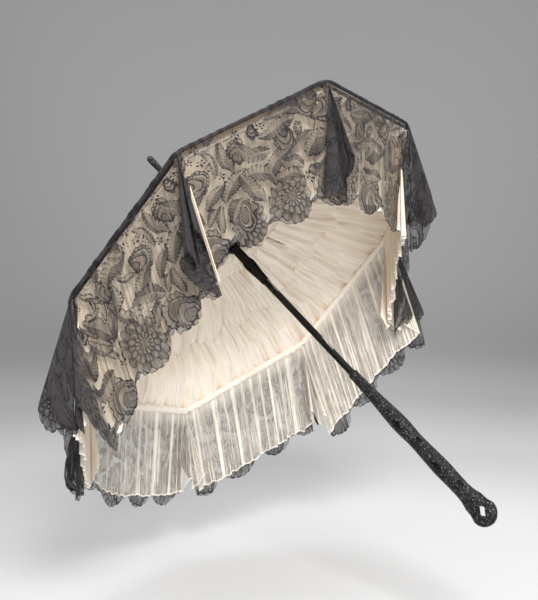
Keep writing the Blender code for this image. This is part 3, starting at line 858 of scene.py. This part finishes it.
def pale_floor(centre):
    """A studio sweep with a painted pool of light, brightest under the parasol and greying with distance from
    it, and a painted glow on its back.
    """
    made, tree, shader = new_material("studio_sweep")
    w = Wires(tree)
    moved = w.node("ShaderNodeVectorMath", operation="SUBTRACT")
    w.plug(moved.inputs[0], w.place())
    moved.inputs[1].default_value = centre
    flat = w.scaled(moved.outputs[0], (1, 1, 0.6))
    length = w.node("ShaderNodeVectorMath", operation="LENGTH")
    w.plug(length.inputs[0], flat)
    # painted pool of light: the tone falls from the spot under the parasol outwards
    ramp = w.node("ShaderNodeValToRGB")
    ramp.color_ramp.interpolation = "EASE"
    w.plug(ramp.inputs["Fac"], w.math("DIVIDE", length.outputs["Value"], LIGHT_POOL_FADE))
    for i, (place, tone) in enumerate(LIGHT_POOL_STOPS):
        if i < 2:
            element = ramp.color_ramp.elements[i]
            element.position = place
        else:
            element = ramp.color_ramp.elements.new(place)
        element.color = (tone, tone, tone * 1.005, 1)
    facing = w.node("ShaderNodeVectorMath", operation="NORMALIZE")
    w.plug(facing.inputs[0], moved.outputs[0])
    towards = w.node("ShaderNodeVectorMath", operation="DOT_PRODUCT")
    w.plug(towards.inputs[0], facing.outputs[0])
    towards.inputs[1].default_value = PAINTED_GLOW_DIRECTION
    # painted glow on the back of the sweep
    painted_glow = w.ramp(towards.outputs["Value"], 0.90, 1.0, 0.0, 0.30)
    w.plug(shader.inputs["Base Color"], w.mix(painted_glow, ramp.outputs["Color"], (0.5, 0.5, 0.5)))
    settle(shader, rough=0.9, specular=0.1)
    return made


MATERIALS = {
    "lace": black_lace(),
    "cover": lace_over_silk(),
    "lining": cream_lining(),
    "chiffon": sheer_chiffon(),
    "lacquer": hard_black("shaft_lacquer", (0.002, 0.002, 0.002), 0.26, 60, 0.05, (1, 1, 0.1), 0.1),
    "ebony": carved_ebony(),
    "metal": hard_black("blackened_metal", (0.005, 0.0045, 0.004), 0.42, 240, 0.12, (1, 1, 1), 0.05, 0.0),
    "steel": hard_black("bright_steel", (0.50, 0.48, 0.45), 0.25, 400, 0.03, (0.1, 1, 1), 0.0, 1.0),
    "cane": hard_black("brown_cane", (0.16, 0.075, 0.028), 0.45, 220, 0.08, (1, 1, 0.08), 0.2),
}

NODE_MATERIALS = (
    (("shaft",), "lacquer"),
    (("handle", "ferrule", "crown_cap"), "ebony"),
    (("runner", "crown_notch", "stop_pin", "handle_collar"), "metal"),
    (("top_spring", "hand_spring"), "steel"),
    (tuple(f"{kind}_{n}" for kind in ("rib", "stretcher") for n in range(1, RIBS + 1)), "cane"),
)


def finish_nodes():
    for names, material in NODE_MATERIALS:
        for name in names:
            slots = frame["nodes"][name].data.materials
            slots.clear()
            slots.append(MATERIALS[material])


# Canopy pieces


def gore_points(n, share, a, offset, sag):
    """Canopy points at shares along the rib and places a across it, from -1 to 1."""
    x, z, slope = rib_line(share)
    inward = sag * np.sin(np.pi * np.clip(share, 0, 1)) * (1 - (1 - np.abs(a)) ** 2)
    o = offset - inward
    xs, zs = x + o * np.sin(slope), z + o * np.cos(slope)
    across = xs * math.cos(HALF_GORE) * math.sin(HALF_GORE) * a
    return in_rib(n, xs * (1 - np.abs(a) * math.sin(HALF_GORE) ** 2), across, zs), across


def mount_cloth(piece, body, nodes):
    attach(piece, body)
    if nodes:
        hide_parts(*nodes)
    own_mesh(piece)


def make_cover(n, lace):
    rows, columns = 210, 121
    share = np.linspace(COVER_FROM, 1.0, rows)[:, None] * np.ones(columns)
    a = np.ones((rows, 1)) * np.linspace(-1, 1, columns)
    points, across = gore_points(n, share, a, COVER_OFFSET, COVER_SAG)
    down = share * COVER_RUN_MM
    sideways = across * 1000 + n * GORE_SHIFT_MM
    attributes = {
        "cloth": np.stack([sideways, down, np.zeros_like(down)], -1),
        "body": lace.sample(lace.body, sideways, down),
        "line": lace.sample(lace.line, sideways, down),
        "tone": lace.sample(lace.tone, sideways, down),
        "seam": np.abs(across) * 1000,
    }
    name = f"cover_{n + 1}"
    piece = grid_piece(name, points, attributes, MATERIALS["cover"])
    mount_cloth(piece, f"rib_{n + 1}", [f"cover_panel_{n + 1}"])


def gathers(n, a, seed, counts):
    """Radial folds round the lining as a height from -1 to 1, continuous from gore to gore."""
    turn = (n + a / 2) * 2 * np.pi / RIBS
    rng = seeded(seed)
    total = np.zeros(np.shape(a))
    for count, share in counts:
        for k in range(5):
            waves = int(count * rng.uniform(0.8, 1.25))
            total = total + share * 0.5 * np.sin(turn * waves + rng.uniform(0, 6.28))
    return total


# How many gathers go once round the lining, and how strong they are
GATHERS = ((84, 0.7), (47, 0.7), (150, 0.5))
FINE_GATHERS = ((270, 1.0),)


def ruched(n, points, inward, f, a, bands, seed, puff, width):
    """Moves lining points inwards into puffed and gathered bands. f runs from 0 to 1 along the piece."""
    level = f * bands + 0.07 * np.sin(np.pi * f) * gathers(n, a, seed + 90, ((21, 0.6), (43, 0.4)))
    band = np.clip(np.floor(level), 0, bands - 1)
    within = np.clip(level - band, 0, 1)
    arch = np.sin(np.pi * within) ** 0.7
    coarse = np.zeros_like(f)
    fine = np.zeros_like(f)
    for k in range(bands):
        on = band == k
        sway = 0.10 * (within - 0.5) + 0.035 * gathers(n, a, seed + 20 + k, ((17, 1.0),)) * np.sin(3 * within)
        above = gathers(n, a + sway, seed + k, GATHERS)
        below = gathers(n, a - 0.6 * sway, seed + 7 + k, GATHERS)
        coarse = np.where(on, above + (below - above) * smooth(within, 0.3, 0.7), coarse)
        fine = np.where(on, gathers(n, a, seed + 50 + k, FINE_GATHERS), fine)
    scale = np.minimum(1.0, width / 0.10)
    height = puff * arch * (0.7 + 0.3 * coarse) + 0.0016 * scale * coarse * (0.35 + 0.65 * arch)
    height = height + 0.0006 * scale * fine * (1.3 - arch)
    # depth is painted shade: highest in the gathers' valleys and where the bands pinch; it is also raised
    # along the rib line, which paints the cloth darker there
    depth = np.clip(0.45 - 0.40 * coarse - 0.12 * fine, 0, 1) * (1.2 - 0.6 * arch)
    rib = np.exp(-((a * width / 0.0016) ** 2)) * smooth(gathers(n, f * 2, seed + 70, ((9, 1.0),)), 0.1, 0.7)
    return points + height[..., None] * inward, depth + 0.9 * rib


def make_lining(n, part, body, points, inward, f, a, across, down, seed, puff):
    """Ruches one part of the lining from its smooth points."""
    width = np.abs(across[:, -1:]) * np.ones_like(f)
    points, depth = ruched(n, points, inward, f, a, BANDS, seed, puff, width)
    attributes = {"cloth": np.stack([across * 1000, down, np.zeros_like(f)], -1), "depth": depth}
    piece = grid_piece(f"lining_{part}_{n + 1}", points, attributes, MATERIALS["lining"], True)
    mount_cloth(piece, f"{body}_{n + 1}", [f"{part}_lining_{n + 1}"])


def make_outer_lining(n):
    rows, columns = 150, 171
    share = np.linspace(STRETCHER_SHARE, LINING_TO, rows)[:, None] * np.ones(columns)
    a = np.ones((rows, 1)) * np.linspace(-1, 1, columns)
    points, across = gore_points(n, share, a, LINING_OFFSET, 0.0)
    _, _, slope = rib_line(share)
    inward = -(np.sin(slope)[..., None] * OUT[n] + np.cos(slope)[..., None] * UP)
    f = (share - share.min()) / (share.max() - share.min())
    make_lining(n, "outer", "rib", points, inward, f, a, across, share * 300, 11, OUTER_PUFF)


def make_inner_lining(n):
    rows, columns = 130, 131
    f = np.linspace(INNER_FROM, 1.0, rows)[:, None] * np.ones(columns)
    a = np.ones((rows, 1)) * np.linspace(-1, 1, columns)
    pivot_x, pivot_z = (PIVOTS[n] - CENTRE) @ OUT[n], (PIVOTS[n] - CENTRE) @ UP
    run = np.array([pivot_x - HINGE_R, pivot_z - RUNNER_Z])
    below = np.array([run[1], -run[0]]) / np.hypot(*run)
    x = HINGE_R + run[0] * f + below[0] * 0.002
    z = RUNNER_Z + run[1] * f + below[1] * 0.002
    across = x * math.cos(HALF_GORE) * math.sin(HALF_GORE) * a
    points = in_rib(n, x * (1 - np.abs(a) * math.sin(HALF_GORE) ** 2), across, z)
    inward = below[0] * OUT[n] + below[1] * UP
    make_lining(
        n, "inner", "stretcher", points, inward, f, a, across, f * 130, 31, INNER_PUFF)


RUCHE = ((0.043, 0.6), (0.012, 0.5), (0.005, 0.3))
# name, place out and up from the rim, half width, half height, how much slimmer where the chiffon is
# close, material, slot
RIM_BANDS = (
    ("rim_band", 0.0014, 0.0020, 0.0020, 0.0024, -0.1, "lace", "black_lace"),
    ("rim_ruche", -0.0062, -0.0046, 0.0056, 0.0044, 0.9, "lining", "cream_chiffon"),
)


def make_rim_band(n, name, out, up, wide, high, slimmer, material, slot):
    """A ruched cord along the rim, from the middle of one side round the rib's tip to the next."""
    ring, steps = 14, 230
    first, second = SIDES[(n - 1) % RIBS], SIDES[n]
    half = first["length"] / 2
    s = np.linspace(-half, half, steps)
    corner = second["start"]
    side_way = np.where(s[:, None] < 0, first["along"], second["along"])
    line = corner + s[:, None] * side_way
    line = line - (1 / (1 + (s / 0.004) ** 2) * 0.0015)[:, None] * OUT[n]
    radial = np.cross(UP, side_way)
    radial = np.where((radial @ OUT[n])[:, None] < 0, -radial, radial)
    side_wave = np.where(s < 0, ripple(n - 1, s + 2 * half, RUCHE, 41), ripple(n, s, RUCHE, 41))
    here = np.where(s < 0, fullness(n - 1), fullness(n))
    swell = (1 + 0.16 * side_wave) * (1 - slimmer * here)
    turn = np.linspace(0, 2 * np.pi, ring + 1)
    pucker = 1 + 0.10 * np.sin(3 * turn)[None, :] * side_wave[:, None]
    across = (wide * np.cos(turn))[None, :] * swell[:, None] * pucker
    upward = (high * np.sin(turn))[None, :] * swell[:, None] * pucker
    points = line[:, None, :] + (out + across)[..., None] * radial[:, None, :] + (up + upward)[..., None] * UP
    zero = np.zeros_like(across)
    attributes = {
        "cloth": np.stack([s[:, None] * 1000 + zero, turn[None, :] * wide * 1000 + zero, zero], -1),
        # depth paints shade on the cream ruche where it is pinched thin
        "depth": 0.3 - 0.3 * side_wave[:, None] + zero,
        "body": 2.0 + zero,
        "line": 0.5 * side_wave[:, None] + zero,
        "tone": 0.95 + zero,
    }
    piece = grid_piece(f"{name}_{n + 1}", points, attributes, MATERIALS[material])
    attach(piece, f"rib_{n + 1}")
    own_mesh(piece)


# Each fold is a walk out from the corner and back, as (stands out, to the side) for each metre of fall
LACE_FOLD = (
    (0.00, 0.00), (0.45, -0.16), (1.00, -0.14), (1.04, -0.02), (0.60, 0.02), (0.32, 0.04),
    (0.36, 0.12), (0.74, 0.16), (0.78, 0.26), (0.40, 0.30), (0.00, 0.00),
)
CHIFFON_FOLD = (
    (0.00, 0.00), (-0.30, -0.20), (-0.85, -0.20), (-0.90, -0.06), (-0.40, -0.02), (-0.14, 0.02),
    (-0.42, 0.10), (-0.80, 0.16), (-0.78, 0.28), (-0.30, 0.26), (0.00, 0.00),
)


def fold_to(fold, side):
    """The fold widened to one side, or walked the other way round to the other."""
    if side < 0:
        fold = tuple(reversed(fold))
    return tuple((out, across * side) for out, across in fold)


LACE_WAVES = ((0.075, 1.0), (0.034, 0.45))


def make_flounces():
    lace_curtains = []
    for n in range(RIBS):
        lace_curtains.append(Curtain(
            n, LACE_WIDTH, fold_to(LACE_FOLD, FOLD_SIDES[n]), rise=1.05, offset=0.0016, step=LACE_STEP,
            waves=LACE_WAVES, sway=0.0034, point_drop=POINT_DROPS[n], spread=FOLD_SPREAD, seed=5))
    starts, total = [], 0.0
    for curtain in lace_curtains:
        points = curtain.points(curtain.drop[None, :])
        a, b = curtain.panel - 1, curtain.panel + curtain.inside
        first = (points[0, a] - curtain.corner) @ curtain.first["along"]
        second = (points[0, b] - curtain.corner) @ curtain.second["along"]
        run = np.linalg.norm(np.diff(points[0, a : b + 1], axis=0), axis=1).sum()
        starts.append((total, total + run - (second - first)))
        total = starts[-1][1] + curtain.first["length"]
    repeat = total / round(total / PATTERN_REPEAT) * 1000
    lace = draw_flounce_lace(repeat, LACE_WIDTH * 1000)
    rows = 112
    for n, curtain in enumerate(lace_curtains):
        hem = np.ones((1, len(curtain.s1)))
        for _ in range(4):
            fall = curtain.drop[None, :] * hem
            x = curtain.cloth_x(curtain.points(fall), starts[n]) * 1000
            hem = hem_of(lace, LACE_WIDTH * 1000, x) / (LACE_WIDTH * 1000)
        fall = np.linspace(0, 1, rows)[:, None] * curtain.drop[None, :] * hem
        points = curtain.points(fall)
        x = curtain.cloth_x(points, starts[n]) * 1000
        y = curtain.cloth_y(fall) * 1000
        to_hem = (curtain.drop[None, :] * hem - fall) * 1000
        attributes = {
            "cloth": np.stack([x, y, np.zeros_like(x)], -1),
            "body": np.maximum(lace.sample(lace.body, x, y), 1.5 - to_hem),
            "line": np.maximum(lace.sample(lace.line, x, y), 0.75 - to_hem),
            "tone": lace.sample(lace.tone, x, y),
            "gather": np.sin(np.pi * curtain.blend)[None, :] ** 0.5 * np.ones((rows, 1)),
        }
        piece = grid_piece(f"lace_flounce_{n + 1}", points, attributes, MATERIALS["lace"])
        mount_cloth(piece, f"flounce_{n + 1}", [f"flounce_{n + 1}"])


# How closely the chiffon is set along each side of the rim: closest where it hangs over the opening
FULLNESS = (1.0, 0.8, 0.12, 0.0, 0.0, 0.5, 1.0, 1.0)


def fullness(side):
    return FULLNESS[side % RIBS]


HEM_WAVES = ((60, 0.8), (190, 0.5))
CHIFFON_SEED = 23  # its hanging folds and its shading follow the same waves
CHIFFON_WAVES = ((0.037, 0.8), (0.0165, 0.8), (0.0075, 0.6), (0.0041, 0.3))


def make_chiffon():
    rows = 60
    for n in range(RIBS):
        full = min(fullness(n - 1), fullness(n))
        curtain = Curtain(
            n, CHIFFON_WIDTH, fold_to(CHIFFON_FOLD, math.copysign(1, FOLD_SIDES[n])), rise=0.9,
            offset=-0.0070 - 0.0035 * full, step=0.0010, waves=CHIFFON_WAVES, sway=0.0021,
            point_drop=POINT_DROPS[n], spread=0.26 * (1 - 0.9 * full), seed=CHIFFON_SEED)
        hem = 1 + 0.014 * gathers(n, np.linspace(-1, 1, len(curtain.s1)), 77, HEM_WAVES)[None, :]
        fall = np.linspace(0, 1, rows)[:, None] * curtain.drop[None, :] * hem
        points = curtain.points(fall)
        half = curtain.first["length"] / 2
        index = np.arange(len(curtain.s1))
        before = ripple(n - 1, curtain.s1 + half, CHIFFON_WAVES, CHIFFON_SEED)
        after = ripple(n, curtain.s2, CHIFFON_WAVES, CHIFFON_SEED)
        wave = np.where(index < curtain.panel + curtain.inside, before, after)
        fold = smooth(wave, 0.35, 1.5)
        full = fullness(n - 1) + (fullness(n) - fullness(n - 1)) * curtain.blend
        x = np.concatenate([[0], np.cumsum(np.linalg.norm(np.diff(points[-1], axis=0), axis=1))]) * 1000
        x = x[None, :] * np.ones((rows, 1))
        attributes = {
            "cloth": np.stack([x, fall * 1000, np.zeros_like(x)], -1),
            "fold": fold[None, :] * np.ones((rows, 1)),
            "full": full[None, :] * np.ones((rows, 1)),
            "hem": (fall[-1:] - fall) * 1000,
            "down": fall * 1000,
        }
        piece = grid_piece(f"chiffon_flounce_{n + 1}", points, attributes, MATERIALS["chiffon"])
        mount_cloth(piece, f"flounce_{n + 1}", [f"flounce_{n + 1}"])


# Studio

FLOOR_R = 2.6
WALL_R = 2.2
FLOOR_GAP = 0.055  # under the lowest solid
WORLD_LIGHT = 1.15
# name, place from the middle of the parasol, size, power
LAMPS = (
    ("key", (1.86, -1.46, 1.75), 1.0, 118.0),
    ("fill", (1.9, -1.6, 0.2), 1.2, 15.0),
    ("back", (-0.9, 1.0, 2.6), 2.0, 20.0),
)


def make_studio():
    low, high = (np.array(corner) for corner in CAD_BOX)
    middle = (low + high) / 2
    floor_z = low[2] - FLOOR_GAP
    radii = [0.0, 0.4, 0.8, 1.2, 1.6, 2.0, 2.3, FLOOR_R]
    profile = [(r, floor_z) for r in radii]
    for k in range(1, 17):
        a = math.radians(88) * k / 16
        profile.append((FLOOR_R + WALL_R * math.sin(a), floor_z + WALL_R * (1 - math.cos(a))))
    profile = np.array(profile)
    turn = np.linspace(0, 2 * np.pi, 97)
    points = np.stack([
        middle[0] + profile[:, :1] * np.cos(turn),
        middle[1] + profile[:, :1] * np.sin(turn),
        profile[:, 1:] * np.ones_like(turn),
    ], -1)
    # the floor's painted pool of light is centred just beside the parasol's middle
    sweep = grid_piece("studio_sweep", points, (), pale_floor((middle[0] + 0.06, middle[1] + 0.10, floor_z)))
    world = bpy.data.worlds.new("studio")
    bpy.context.scene.world = world
    world.use_nodes = True
    background = world.node_tree.nodes.get("Background") or world.node_tree.nodes.new("ShaderNodeBackground")
    background.inputs["Color"].default_value = (1.0, 1.0, 1.0, 1)
    background.inputs["Strength"].default_value = WORLD_LIGHT
    for name, place, size, power in LAMPS:
        lamp = bpy.data.lights.new(name, "AREA")
        lamp.shape = "DISK"
        lamp.size = size
        lamp.energy = power
        made = bpy.data.objects.new(name, lamp)
        made.location = Vector(middle) + Vector(place)
        made.rotation_euler = (Vector(middle) - made.location).to_track_quat("-Z", "Y").to_euler()
        bpy.context.collection.objects.link(made)


CAMERA_OFFSET = (1.1052, -1.1752, 0.1159)  # from the centre of the rim
CAMERA_AZIMUTH = 42.3
CAMERA_PITCH = 5.79
CAMERA_HEIGHT_ANGLE = 26.73


def make_camera():
    data = bpy.data.cameras.new("camera")
    data.sensor_fit = "VERTICAL"
    data.angle = math.radians(CAMERA_HEIGHT_ANGLE)
    made = bpy.data.objects.new("camera", data)
    made.location = Vector(CENTRE) + Vector(CAMERA_OFFSET)
    made.rotation_euler = (math.radians(90 - CAMERA_PITCH), 0, math.radians(CAMERA_AZIMUTH))
    bpy.context.collection.objects.link(made)
    bpy.context.scene.camera = made


make_camera()
make_studio()
bpy.context.scene.view_settings.view_transform = "Standard"
finish_nodes()
cover_lace = draw_cover_lace(*COVER_LACE_MM)
for rib in range(RIBS):
    make_cover(rib, cover_lace)
    make_outer_lining(rib)
    make_inner_lining(rib)
    for band in RIM_BANDS:
        make_rim_band(rib, *band)
make_flounces()
make_chiffon()
